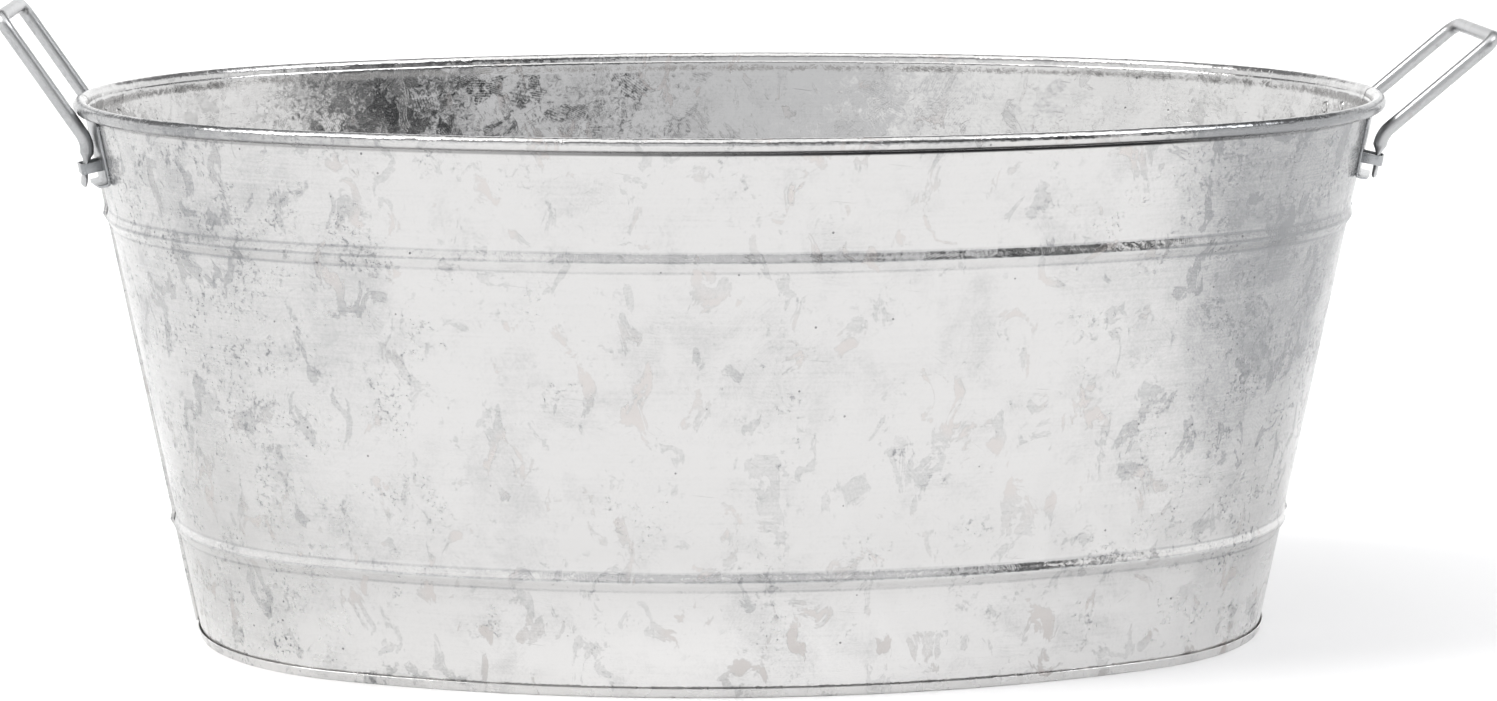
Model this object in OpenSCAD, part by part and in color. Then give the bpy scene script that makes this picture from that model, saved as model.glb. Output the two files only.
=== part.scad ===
// Oval galvanized tub with two swinging rod handles.
// The origin is the middle of the plane that the tub stands on, +X runs along the tub
// and +Z points up. The wall is two half shells that are hooked together in a lock seam
// at each end, rolled over a wire at the rim and seamed to a recessed base pan.

/* [Tub] */
// Length over the rolled rim, mm
tub_length = 610; // [560:1:660]
// Width over the rolled rim, mm
tub_width = 406; // [376:1:420]
// Height from the floor to the top of the rim, mm
tub_height = 254; // [230:1:290]
// Radius of the rim's round ends, seen from above, mm
end_radius = 172; // [162:1:184]
// Outward lean of the wall, degrees
wall_lean = 10.9; // [8:0.1:13]
// Thickness of the sheet, mm
sheet = 0.6; // [0.5:0.05:0.9]

/* [Rolled rim] */
// Diameter of the wire inside the rim, mm
wire_d = 5; // [4:0.1:6]
// Open gap where the two rolled rims meet at each end, mm
splice_gap = 1.2; // [0.4:0.1:2]

/* [Pressed ribs] */
// How far the upper rib's middle lies below the top of the rim, mm
upper_rib_drop = 55; // [50:1:80]
// Height of the lower rib's middle above the floor, mm
lower_rib_z = 54; // [40:1:90]
// Height of each rib, mm
rib_height = 9; // [6:0.5:12]
// How far each rib stands out of the wall, mm
rib_proud = 1.6; // [0.8:0.1:2.4]

/* [Base] */
// Height of the pan's floor above the ground, mm
base_recess = 6; // [4:0.5:9]
// Height of the pan's edge outside the wall, mm
skirt_height = 4.5; // [3:0.5:8]

/* [Lock seam] */
// Width of the hooked pocket in each end seam, mm
seam_pocket = 6; // [4:0.5:9]
// Play between folded sheets, mm
fold_gap = 0.1; // [0.08:0.01:0.2]

/* [Handles] */
// Diameter of the handle rod, mm
rod_d = 6.3; // [5:0.1:7]
// Distance between the two legs of a handle, mm
leg_spacing = 82; // [70:1:96]
// Length of a leg from its bend to the grip's centre line, mm
leg_length = 68.4; // [55:0.1:90]
// Bend between foot and leg, degrees
leg_bend = 40.4; // [36:0.1:44]
// Centre line radius of that bend, mm
leg_bend_radius = 13; // [10:0.5:15]
// Centre line radius of the grip's corners, mm
grip_corner_radius = 7.5; // [6:0.5:14]
// Width of the flattened foot, mm
foot_width = 9; // [7.5:0.1:10]
// Thickness of the flattened foot, mm
foot_thick = 2.6; // [2:0.1:3]
// Length of the foot above the pivot, mm
foot_above = 11.5; // [10.5:0.1:13]
// Length of the foot below the pivot, mm
foot_below = 8.5; // [7:0.1:10]
// How much wider the spread tail of the foot is, mm
tail_spread = 3; // [2:0.1:4]

/* [Ears] */
// How far the handles' pivot line lies below the top of the rim, mm
pivot_drop = 29; // [28.5:0.1:31]
// Distance of the pivot line from the wall, mm
pivot_off = 7.5; // [7.4:0.1:8.2]
// Width of an ear along the wall, mm
ear_width = 30; // [26:1:34]
// Thickness of an ear, mm
ear_sheet = 1; // [0.8:0.1:1.4]
// Height of the bridge that holds the foot, mm
bridge_height = 4.6; // [3:0.1:5]
// Radius of an ear's lower corners, mm
ear_corner_radius = 3; // [1:0.5:5]
// Clearance round a foot in its bridge, mm
foot_clear = 0.8; // [0.6:0.1:1.2]
// Clearance of the foot's tail below its bridge, mm
tail_clear = 1.2; // [1:0.1:1.6]
// Clearance where a handle comes to rest on a stop, mm
stop_clear = 0.3; // [0.2:0.05:0.6]
// Lean of the foot off the wall at the outward stop, degrees
out_lean = 1.5; // [0:0.1:3]

/* [Hidden] */
$fn = 128;

// Plan of the rim: an oval of two end arcs and two side arcs that meet without a corner.
end_x = tub_length / 2 - end_radius;
half_width = tub_width / 2;
side_radius = (pow(end_x, 2) + pow(half_width, 2) - pow(end_radius, 2)) / (2 * (half_width - end_radius));
side_y = side_radius - half_width;
end_angle = atan2(side_y, end_x);

// Heights that hang from the top of the rim.
upper_rib_z = tub_height - upper_rib_drop;
pivot_z = tub_height - pivot_drop;

// Rolled rim, in the section plane: u runs outward from the rim's outline, z runs up.
roll_r = wire_d / 2 + fold_gap + sheet;
roll_u = -roll_r;
roll_z = tub_height - roll_r;
roll_mid_r = roll_r - sheet / 2;
roll_end_angle = -142;
roll_steps = 26;

// Wall: its middle line touches the roll's middle circle on the inner side.
touch_u = roll_u - roll_mid_r * cos(wall_lean);
touch_z = roll_z + roll_mid_r * sin(wall_lean);
wall_foot_z = sheet + fold_gap;
rib_steps = 12;

// The arcs of a sweep stop a hair apart, and a tie a little thinner than the piece runs
// through each of these joints.
joint = 0.01;
tie_angle = 0.2;
tie_inset = 0.03;

// Levels of the sheets in the lock seam, outward from the wall's outer face.
layer = sheet + fold_gap;
seam_edge = seam_pocket / 2;
seam_low = skirt_height + sheet;
seam_high = roll_z - roll_r;
seam_sweep = 12;
lap = fold_gap / 5;
seam_start = -seam_edge - layer - sheet;
seam_stop = seam_edge + layer + sheet;
long = 1000;

// Outward place of the wall's outer face at height z, seen in the section plane.
function wall_u(z) = touch_u - (touch_z - z) * tan(wall_lean) + sheet / 2 / cos(wall_lean);

// A point off the wall's outer face: n along the face's outward normal, z along the wall.
function off_wall(n, z) = [wall_u(z) + n * cos(wall_lean), z - n * sin(wall_lean)];

// Rib bulge and its slope at height z.
function rib(z, middle) =
    abs(z - middle) > rib_height / 2 ? 0 : rib_proud / 2 * (1 + cos(360 * (z - middle) / rib_height));
function rib_slope(z, middle) =
    abs(z - middle) > rib_height / 2 ? 0
    : -rib_proud * PI / rib_height * sin(360 * (z - middle) / rib_height);
function bulge(z) = rib(z, lower_rib_z) + rib(z, upper_rib_z);
function bulge_lean(z) = atan(rib_slope(z, lower_rib_z) + rib_slope(z, upper_rib_z));

// Heights at which the wall's section is drawn between two limits.
function rib_stations(middle) =
    [for (i = [0:rib_steps]) middle - rib_height / 2 + rib_height * i / rib_steps];
function stations(low, high) = concat(
    [low],
    [for (z = rib_stations(lower_rib_z)) if (z > low && z < high) z],
    [for (z = rib_stations(upper_rib_z)) if (z > low && z < high) z],
    [high]
);

// The wall's section line at distance n outward from its outer face, ribs included.
function wall_line(n, low, high) = [
    for (z = stations(low, high))
        let (lean = wall_lean + bulge_lean(z))
        [
            wall_u(z) + bulge(z) * cos(wall_lean) + n * cos(lean),
            z - bulge(z) * sin(wall_lean) - n * sin(lean)
        ]
];

// The roll's section line at radius r, from where the wall touches it to its free edge,
// which stops the given length early.
function roll_line(r, early) = [
    let (last = roll_end_angle + early / r * 180 / PI)
        for (i = [0:roll_steps])
            let (a = 180 - wall_lean + (last - 180 + wall_lean) * i / roll_steps)
            [roll_u + r * cos(a), roll_z + r * sin(a)]
];

function reversed(points) = [for (i = [len(points) - 1:-1:0]) points[i]];

// Section of a sheet on the wall, between two distances from the wall's outer face.
module sheet_section(inner, outer, low, high) {
    polygon(concat(wall_line(inner, low, high), reversed(wall_line(outer, low, high))));
}

// Section of a flat band off the wall, which leaves the ribs out.
module band_section(inner, outer, low, high) {
    polygon([off_wall(inner, low), off_wall(outer, low), off_wall(outer, high), off_wall(inner, high)]);
}

// Section of a whole shell: the wall with its ribs and the roll over the wire. The tie's
// section is inset from it.
module shell_section(inset = 0) {
    low = wall_foot_z + inset;
    high = touch_z - 1;
    inner = concat(wall_line(inset - sheet, low, high), roll_line(roll_r - inset, inset));
    outer = concat(wall_line(-inset, low, high), roll_line(roll_r - sheet + inset, inset));
    polygon(concat(inner, reversed(outer)));
}

// Sweeps the section round part of an end: angle 0 is the middle of that end.
module end_sweep(side, from, to) {
    turn = side > 0 ? 0 : 180;
    translate([side * end_x, 0, 0])
        rotate([0, 0, turn + from])
            rotate_extrude(angle = to - from) translate([end_radius, 0]) children();
}

// Sweeps the section along the front side arc.
module side_sweep() {
    hair = joint / side_radius * 180 / PI;
    translate([0, side_y, 0])
        rotate([0, 0, end_angle - 180 + hair])
            rotate_extrude(angle = 180 - 2 * end_angle - 2 * hair)
                translate([side_radius, 0]) children();
}

// Sweeps the tie's section through the joint at one angle of an end.
module joint_tie(side, angle) {
    end_sweep(side, angle - tie_angle, angle + tie_angle) children();
}

// Sweeps the first section round the front half of the oval, and ties the three arcs
// together with the second, which lies inside the first.
module half_sweep(past = 0) {
    end_sweep(-1, -past, end_angle) children(0);
    side_sweep() children(0);
    end_sweep(1, -end_angle, 0) children(0);
    joint_tie(-1, end_angle) children(1);
    joint_tie(1, -end_angle) children(1);
}

// Box between two values of y and two heights, on one end of the tub.
module end_slab(side, y_from, y_to, low, high) {
    translate([side > 0 ? 0 : -long, y_from, low]) cube([long, y_to - y_from, high - low]);
}

// One sheet of a lock seam: a short sweep on the end, cut to its width and height.
module seam_sheet(side, inner, outer, y_from, y_to) {
    intersection() {
        end_sweep(side, -seam_sweep, seam_sweep)
            sheet_section(inner, outer, seam_low - sheet, seam_high + sheet);
        end_slab(side, y_from, y_to, seam_low + lap, seam_high - lap);
    }
}

// The right end of a half shell, which steps out over the other shell's hook. Its risers
// end inside the sheets that they join.
module outer_hook() {
    top = 3 * layer;
    seam_sheet(1, -sheet / 2, top - sheet / 2, seam_start, seam_start + sheet);
    seam_sheet(1, top - sheet, top, seam_start - lap, seam_stop + lap);
    seam_sheet(1, fold_gap + sheet / 2, top - sheet / 2, seam_stop - sheet, seam_stop);
    seam_sheet(1, fold_gap, layer, fold_gap - seam_edge, seam_stop + lap);
}

// The left end of a half shell, which is hooked inside the other shell's fold.
module inner_hook() {
    top = 2 * layer;
    seam_sheet(-1, -sheet / 2, top - sheet / 2, seam_edge, seam_edge + sheet);
    seam_sheet(-1, top - sheet, top, -seam_edge, seam_edge + sheet + lap);
}

// Half of the wall. The other half is the same piece, turned round. Its left end runs
// on a little past the middle, into the seam.
module half_shell() {
    difference() {
        half_sweep(seam_sweep) {
            shell_section();
            shell_section(tie_inset);
        }
        end_slab(1, seam_start + sheet * 3 / 4, long, seam_low, seam_high);
        end_slab(1, -splice_gap / 2, long, -1, tub_height + 1);
        end_slab(-1, -splice_gap / 2, long, seam_high, tub_height + 1);
        end_slab(-1, -splice_gap / 2, long, -1, seam_low);
        end_slab(-1, seam_edge + sheet * 3 / 4, long, seam_low - 1, seam_high + 1);
    }
    outer_hook();
    inner_hook();
}

module front_shell() {
    color("gainsboro") half_shell();
}

module rear_shell() {
    color("lightgray") rotate([0, 0, 180]) half_shell();
}

// The wire inside one half of the rolled rim.
module half_wire() {
    difference() {
        half_sweep() {
            translate([roll_u, roll_z]) circle(d = wire_d);
            translate([roll_u, roll_z]) circle(d = wire_d - 2 * tie_inset);
        }
        end_slab(1, -splice_gap / 4, long, 0, tub_height);
        end_slab(-1, -splice_gap / 4, long, 0, tub_height);
    }
}

module front_rim_wire() {
    color("dimgray") half_wire();
}

module rear_rim_wire() {
    color("dimgray") rotate([0, 0, 180]) half_wire();
}

// Point at height z whose distance from the wall's outer face is n.
function beside_wall(n, z) = [wall_u(z) + n / cos(wall_lean), z];

// Section of the channel folded round the wall's foot: an upright leaf inside the wall,
// the fold under it and the skirt outside.
leaf_out = -sheet - fold_gap;
leaf_in = leaf_out - sheet;
skirt_in = fold_gap;
skirt_out = fold_gap + sheet;
pan_top = base_recess + sheet;
module channel_section(inset = 0) {
    polygon([
        beside_wall(leaf_in + inset, pan_top - inset),
        beside_wall(leaf_in + inset, inset),
        beside_wall(skirt_out - inset, inset),
        beside_wall(skirt_out - inset, skirt_height - inset),
        beside_wall(skirt_in + inset, skirt_height - inset),
        beside_wall(skirt_in + inset, sheet - inset),
        beside_wall(leaf_out - inset, sheet - inset),
        beside_wall(leaf_out - inset, pan_top - inset)
    ]);
}

// Points round a quarter of the oval at distance u from the rim's outline.
function end_points(u) = [
    for (i = [0:pan_steps])
        let (a = end_angle * i / pan_steps)
        [end_x + (end_radius + u) * cos(a), (end_radius + u) * sin(a)]
];
function side_points(u) = [
    for (i = [1:pan_steps])
        let (a = end_angle + (90 - end_angle) * i / pan_steps)
        [(side_radius + u) * cos(a), (side_radius + u) * sin(a) - side_y]
];

// The pan's floor, which runs out into the middle of the channel's upright leaf.
pan_steps = 16;
module pan_floor() {
    quarter = concat(end_points(beside_wall(leaf_out - sheet / 2, pan_top)[0]),
        side_points(beside_wall(leaf_out - sheet / 2, pan_top)[0]));
    half = concat(quarter, [for (p = reversed(quarter)) if (p[0] > 0.01) [-p[0], p[1]]]);
    outline = concat(half, [for (p = reversed(half)) if (p[1] > 0.01) [p[0], -p[1]]]);
    translate([0, 0, base_recess]) linear_extrude(height = sheet) polygon(outline);
}

module base_pan() {
    color("silver") {
        for (turn = [0, 180])
            rotate([0, 0, turn]) {
                end_sweep(1, -end_angle, end_angle) channel_section();
                side_sweep() channel_section();
                joint_tie(1, -end_angle) channel_section(tie_inset);
                joint_tie(1, end_angle) channel_section(tie_inset);
            }
        pan_floor();
    }
}

// Place of the legs round the end, and of the pivot line.
pivot_wall_r = end_radius + wall_u(pivot_z);
pivot_r = pivot_wall_r + pivot_off;
leg_y = leg_spacing / 2;
leg_turn = asin(leg_y / pivot_r);
pivot_x = end_x + pivot_r * cos(leg_turn);

// Lean of the legs from upright: at the inward stop a leg lies on the rolled rim, at
// the outward stop the foot's tail lies on the ear's ledge.
roll_at_leg_x = end_x + sqrt(pow(end_radius + roll_u, 2) - pow(leg_y, 2));
roll_dx = roll_at_leg_x - pivot_x;
roll_dz = roll_z - pivot_z;
rim_reach = (roll_r + rod_d / 2 + stop_clear) / cos(leg_turn);
leg_in = atan2(roll_dx, roll_dz)
    + asin((foot_above * sin(leg_bend) + rim_reach) / norm([roll_dx, roll_dz]));
leg_out = wall_lean - out_lean + leg_bend;

// Bridge, ledge and foot, from the same distances off the wall.
pivot_out = pivot_off * cos(wall_lean);
pivot_wall_z = pivot_z + pivot_out * sin(wall_lean);
in_lean = wall_lean + leg_bend - leg_in;
bridge_in = pivot_out + bridge_height / 2 * tan(in_lean) + foot_thick / 2 / cos(in_lean) + stop_clear;
ledge_low = pivot_wall_z - foot_below;
ledge_out = pivot_out - foot_below * tan(out_lean) - foot_thick / 2 - stop_clear;
ear_high = roll_z - roll_r;

// Angle of a width along the wall at the height of the pivot.
function along(width) = width / pivot_wall_r * 180 / PI;

// One ear: a plate on the wall with a ledge at its foot and a bridge pressed out of it.
module ear(side, end) {
    middle = side * end * leg_turn;
    half = along(ear_width / 2);
    pocket = along(foot_width / 2 + foot_clear);
    cheek = along(ear_sheet);
    low = pivot_wall_z - bridge_height / 2;
    high = pivot_wall_z + bridge_height / 2;
    difference() {
        end_sweep(side, middle - half, middle + half)
            union() {
                band_section(fold_gap, fold_gap + ear_sheet, ledge_low, ear_high);
                band_section(fold_gap, ledge_out, ledge_low, ledge_low + ear_sheet);
            }
        end_sweep(side, middle - pocket, middle + pocket)
            band_section(-1, fold_gap + 2 * ear_sheet, low, high);
        for (edge = [-1, 1])
            ear_corner(side, middle + edge * half, edge);
    }
    end_sweep(side, middle - pocket - cheek, middle + pocket + cheek)
        band_section(bridge_in, bridge_in + ear_sheet, low, high);
    for (edge = [-1, 1])
        let (centre = middle + edge * (pocket + cheek / 2))
        end_sweep(side, centre - cheek / 2, centre + cheek / 2)
            band_section(fold_gap, bridge_in + ear_sheet, low, high);
}

// Cuts an ear's ledge round at one corner, seen from above.
module ear_corner(side, angle, edge) {
    corner_r = end_radius + wall_u(ledge_low) + ledge_out;
    turn = side > 0 ? 0 : 180;
    translate([side * end_x, 0, 0])
        rotate([0, 0, turn + angle])
            translate([corner_r, 0, ledge_low - 2])
                difference() {
                    translate([-ear_corner_radius, -ear_corner_radius, 0])
                        cube([2 * ear_corner_radius, 2 * ear_corner_radius, 2 * ear_sheet + 2]);
                    translate([-ear_corner_radius, -edge * ear_corner_radius, -1])
                        cylinder(r = ear_corner_radius, h = 2 * ear_sheet + 4);
                }
}

// Length of a rod along +Z between two joints, which lets in the hair at both.
module rod(length) {
    translate([0, 0, joint]) cylinder(d = rod_d, h = length - 2 * joint);
}

// Tie through a joint of the rod.
module rod_tie(at) {
    reach = 10 * tie_inset;
    translate([0, 0, at - reach]) cylinder(d = rod_d - 2 * tie_inset, h = 2 * reach);
}

// Lengths along the leg and the foot, from where their centre lines cross.
leg_tangent = leg_bend_radius * tan(leg_bend / 2);
leg_straight = leg_length - leg_tangent - grip_corner_radius;
grip_half = leg_y - grip_corner_radius;
neck_high = foot_above - leg_tangent;
neck_low = bridge_height / 2 + foot_clear;

// Handle, drawn with its pivot at the origin, feet down and the legs leaning to +X.
module handle() {
    for (edge = [-1, 1])
        translate([0, edge * leg_y, 0]) {
            foot(edge);
            rod_tie(neck_high);
            translate([leg_bend_radius, 0, neck_high])
                rotate([90, 0, 180])
                    rotate_extrude(angle = leg_bend)
                        translate([leg_bend_radius, 0]) circle(d = rod_d);
        }
    translate([0, 0, foot_above])
        rotate([0, leg_bend, 0]) {
            for (edge = [-1, 1])
                translate([0, edge * leg_y, 0]) {
                    translate([0, 0, leg_tangent]) rod(leg_straight);
                    rod_tie(leg_tangent);
                    rod_tie(leg_tangent + leg_straight);
                }
            translate([0, 0, leg_tangent + leg_straight]) grip();
        }
}

// Grip with its two corners, from the legs' ends.
module grip() {
    for (edge = [-1, 1])
        translate([0, edge * grip_half, 0])
            rotate([0, -90, 0])
                rotate([0, 0, edge > 0 ? 0 : -90])
                    rotate_extrude(angle = 90)
                        translate([grip_corner_radius, 0]) circle(d = rod_d);
    translate([0, grip_half, grip_corner_radius])
        rotate([90, 0, 0]) {
            rod(2 * grip_half);
            rod_tie(0);
            rod_tie(2 * grip_half);
        }
}

// Flattened foot, turned to lie along the wall, with its spread tail. Its neck turns
// from flat to round.
module foot(edge) {
    slice = 0.02;
    rotate([0, 0, edge * leg_turn]) {
        hull() {
            translate([0, 0, neck_high - joint - slice]) cylinder(d = rod_d, h = slice, $fn = 32);
            foot_block(foot_width, neck_low, neck_low + slice);
        }
        foot_block(foot_width, -foot_below, neck_low + slice / 2);
        foot_block(foot_width + tail_spread, -foot_below - lap, -bridge_height / 2 - tail_clear);
    }
}

// Block of the foot's thickness between two heights.
module foot_block(width, low, high) {
    translate([-foot_thick / 2, -width / 2, low]) cube([foot_thick, width, high - low]);
}

module right_handle() {
    color("darkgray") translate([pivot_x, 0, pivot_z]) rotate([0, leg_out - leg_bend, 0]) handle();
}

module left_handle() {
    color("darkgray") rotate([0, 0, 180])
        translate([pivot_x, 0, pivot_z]) rotate([0, leg_in - leg_bend, 0]) handle();
}

front_shell();
rear_shell();
base_pan();
front_rim_wire();
rear_rim_wire();
left_handle();
right_handle();
color("silver") ear(-1, -1);  // left_front_ear
color("silver") ear(-1, 1);  // left_rear_ear
color("silver") ear(1, -1);  // right_front_ear
color("silver") ear(1, 1);  // right_rear_ear
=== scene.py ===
# %% [markdown]
# # An oval galvanized tub
# The tub is two half walls of thin zinc-coated steel, hooked together at both ends, rolled
# over a wire at the top and folded into a base pan at the bottom. A bent rod handle hangs in
# two pressed ears at each end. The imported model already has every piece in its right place
# and size, so each piece made here is built from the same sizes and stands for one node. The
# walls come first, because the ears, seams and handles are all placed against them.

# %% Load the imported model
import math

import bmesh
import bpy
from mathutils import Matrix, Vector, noise


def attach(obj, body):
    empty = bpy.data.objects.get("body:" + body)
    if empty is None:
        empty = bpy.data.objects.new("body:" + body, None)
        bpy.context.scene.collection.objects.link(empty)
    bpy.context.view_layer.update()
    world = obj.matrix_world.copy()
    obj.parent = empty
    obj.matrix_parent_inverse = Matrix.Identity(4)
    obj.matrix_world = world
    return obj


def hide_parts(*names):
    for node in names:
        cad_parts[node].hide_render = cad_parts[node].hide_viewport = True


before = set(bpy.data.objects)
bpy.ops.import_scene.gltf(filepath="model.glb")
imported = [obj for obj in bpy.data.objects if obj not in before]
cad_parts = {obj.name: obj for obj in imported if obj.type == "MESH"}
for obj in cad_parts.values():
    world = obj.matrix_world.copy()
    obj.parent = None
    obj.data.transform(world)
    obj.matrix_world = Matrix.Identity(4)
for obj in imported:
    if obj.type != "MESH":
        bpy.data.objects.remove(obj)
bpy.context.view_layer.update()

# %% [markdown]
# ## Sizes
# The plan of the rim is an oval of four arcs: two round ends, and two long flat sides that
# meet them without a corner. One radius for the ends is enough to fix the rest. All lengths
# are written in millimetres, as on a tinsmith's drawing, and are turned into metres where a
# mesh is made.

# %% Sizes of the tub
MM = 0.001
tub_length = 610
tub_width = 406
tub_height = 254
end_radius = 172
wall_lean = math.radians(10.9)
sheet = 0.6
fold_gap = 0.1
wire_radius = 2.5
rib_height = 9
rib_proud = 1.6
rib_middles = (54, 199)
neck_foot = 243.9
neck_middle = 248.9
neck_top = 249.9
neck_deep = 0.5
base_recess = 6
skirt_height = 4.5

end_x = tub_length / 2 - end_radius
half_width = tub_width / 2
side_radius = (end_x**2 + half_width**2 - end_radius**2) / (2 * (half_width - end_radius))
side_y = side_radius - half_width
end_angle = math.atan2(side_y, end_x)

roll_radius = wire_radius + fold_gap + sheet
roll_u = -roll_radius
roll_z = tub_height - roll_radius
roll_middle = roll_radius - sheet / 2
touch_u = roll_u - roll_middle * math.cos(wall_lean)
touch_z = roll_z + roll_middle * math.sin(wall_lean)
print(f"side arcs {side_radius:.1f} mm, end arcs to {math.degrees(end_angle):.1f} degrees")


# %% [markdown]
# ## Section of the wall
# A section is a line in a plane that stands across the wall: u runs outward from the rim's
# outline, z runs up. The wall leans outward at one angle all round. Each pressed rib is a
# low swelling with firm flanks, which two cosines draw, and their slope tells which way the
# sheet's thickness goes. Just under the roll the sheet is drawn in a little, as a neck. At the top the sheet runs tangent into the roll over the wire.


# %% Wall and rib lines
def wall_u(z):
    """Outward place of the wall's outer face at height z."""
    return touch_u - (touch_z - z) * math.tan(wall_lean) + sheet / 2 / math.cos(wall_lean)


def rib_bulge(z):
    """How far the ribs stand out at height z, or the neck dips in, and the slope there."""
    for middle in rib_middles:
        turn = 2 * math.pi * (z - middle) / rib_height
        if abs(turn) < math.pi:
            out = rib_proud / 2 * (1 + 0.9 * math.cos(turn) + 0.1 * math.cos(3 * turn))
            steep = 0.9 * math.sin(turn) + 0.3 * math.sin(3 * turn)
            return out, -rib_proud * math.pi / rib_height * steep
    if neck_foot < z < neck_top:
        flank = neck_middle - (neck_foot if z < neck_middle else neck_top)
        turn = math.pi * (neck_middle - z) / flank
        out = -neck_deep / 2 * (1 + math.cos(turn))
        return out, -neck_deep / 2 * math.pi / flank * math.sin(turn)
    return 0.0, 0.0


def wall_point(n, z):
    """Point at distance n outward from the wall's outer face, ribs included."""
    out, slope = rib_bulge(z)
    lean = wall_lean + math.atan(slope)
    u = wall_u(z) + out * math.cos(wall_lean) + n * math.cos(lean)
    return u, z - out * math.sin(wall_lean) - n * math.sin(lean)


def off_wall(n, z):
    """The same, without the ribs: for what lies flat on the wall."""
    return wall_u(z) + n * math.cos(wall_lean), z - n * math.sin(wall_lean)


def wall_heights(low, high, step=7.0):
    """Heights for a smooth section: close together over the ribs and wide between them."""
    marks = [low]
    swells = [(m - rib_height / 2, rib_height, 18) for m in sorted(rib_middles) if m > low]
    swells.append((neck_foot, neck_top - neck_foot, 14))
    for foot, height, parts in swells:
        start, stop = marks[-1], min(foot, high)
        if stop - start > 0.1:
            count = max(1, round((stop - start) / step))
            marks += [start + (stop - start) * i / count for i in range(1, count + 1)]
        inner = [foot + height * i / parts for i in range(1, parts + 1)]
        marks += [mark for mark in inner if marks[-1] + 0.05 < mark < high - 0.05]
    return marks + [high]


def roll_point(radius, angle):
    return roll_u + radius * math.cos(angle), roll_z + radius * math.sin(angle)


def wall_section(low):
    """Closed section from height low up: the inside, round the roll, back down the outside."""
    first, last, count = math.pi - wall_lean, math.radians(-142), 34
    roll = [first + (last - first) * i / count for i in range(count + 1)]
    heights = wall_heights(low, touch_z - 1)
    inside = [wall_point(-sheet, z) for z in heights] + [roll_point(roll_radius, a) for a in roll]
    outside = [wall_point(0, z) for z in heights] + [roll_point(roll_radius - sheet, a) for a in roll]
    return inside + outside[::-1]


print("points in a wall's section:", len(wall_section(sheet + fold_gap)))

# %% [markdown]
# ## Sweeping a section round the oval
# A spin turns a line round an axis and skins what it passes over, which is what the oval
# needs: spin round the left end's centre, then round the side's, then round the right end's.
# The edges that one spin ends on are the start of the next, so the mesh has no joint. The
# steps are closer on the ends, where the curve is tight.

# %% Sweep helper
END_STEPS = 44
SIDE_STEPS = 96


def end_turn(y, u=-9.0):
    """Angle round an end's centre at which a piece at u is y from the middle plane."""
    return math.asin(y / (end_radius + u))


def section_loop(bm, points, turn, side):
    """Closed and capped loop of edges through a section's points, at one angle of an end."""
    place = Matrix.Translation((side * end_x * MM, 0, 0)) @ Matrix.Rotation(turn, 4, "Z")
    verts = [bm.verts.new(place @ Vector((side * (end_radius + u) * MM, 0, z * MM))) for u, z in points]
    edges = [bm.edges.new((verts[i - 1], verts[i])) for i in range(len(verts))]
    bmesh.ops.contextual_create(bm, geom=edges)
    return edges


def spin(bm, edges, centre, angle, steps):
    made = bmesh.ops.spin(
        bm, geom=edges, cent=(centre[0] * MM, centre[1] * MM, 0), axis=(0, 0, 1),
        dvec=(0, 0, 0), angle=angle, steps=steps, use_merge=False, use_duplicate=False,
    )
    return [item for item in made["geom_last"] if isinstance(item, bmesh.types.BMEdge)]


def sweep_half(bm, points, left_y=0.0, right_y=0.0):
    """Sweeps a section round the front half, stopping short of the middle plane at each end."""
    first, last = end_turn(left_y), end_turn(right_y)
    edges = section_loop(bm, points, first, -1)
    edges = spin(bm, edges, (-end_x, 0), end_angle - first, END_STEPS)
    edges = spin(bm, edges, (0, side_y), math.pi - 2 * end_angle, SIDE_STEPS)
    edges = spin(bm, edges, (end_x, 0), end_angle - last, END_STEPS)
    bmesh.ops.contextual_create(bm, geom=edges)


def outward_normals(bm):
    bmesh.ops.remove_doubles(bm, verts=bm.verts, dist=0.002 * MM)
    bmesh.ops.recalc_face_normals(bm, faces=bm.faces)


def soft_faces(bm, sharp_over=36):
    """Smooth shading, with edges that turn more than this many degrees kept crisp."""
    for face in bm.faces:
        face.smooth = True
    for edge in bm.edges:
        if edge.is_manifold:
            edge.smooth = edge.calc_face_angle() < math.radians(sharp_over)


def finish_piece(bm, name, body, finish, node):
    """Makes the piece's object, gives it its finish, and lets it ride on its body."""
    soft_faces(bm)
    mesh = bpy.data.meshes.new(name)
    bm.to_mesh(mesh)
    bm.free()
    piece = bpy.data.objects.new(name, mesh)
    bpy.context.scene.collection.objects.link(piece)
    mesh.materials.append(finish)
    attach(piece, body)
    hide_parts(node)
    print(f"{name}: {len(mesh.polygons)} faces")
    return piece


# %% [markdown]
# ## Shader sums
# The finishes are written as sums on node sockets. One small class holds a socket, and its
# operators add Math nodes, so a finish reads like a formula. Everything else comes from one
# method that takes a node's type, its settings and its inputs.


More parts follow.
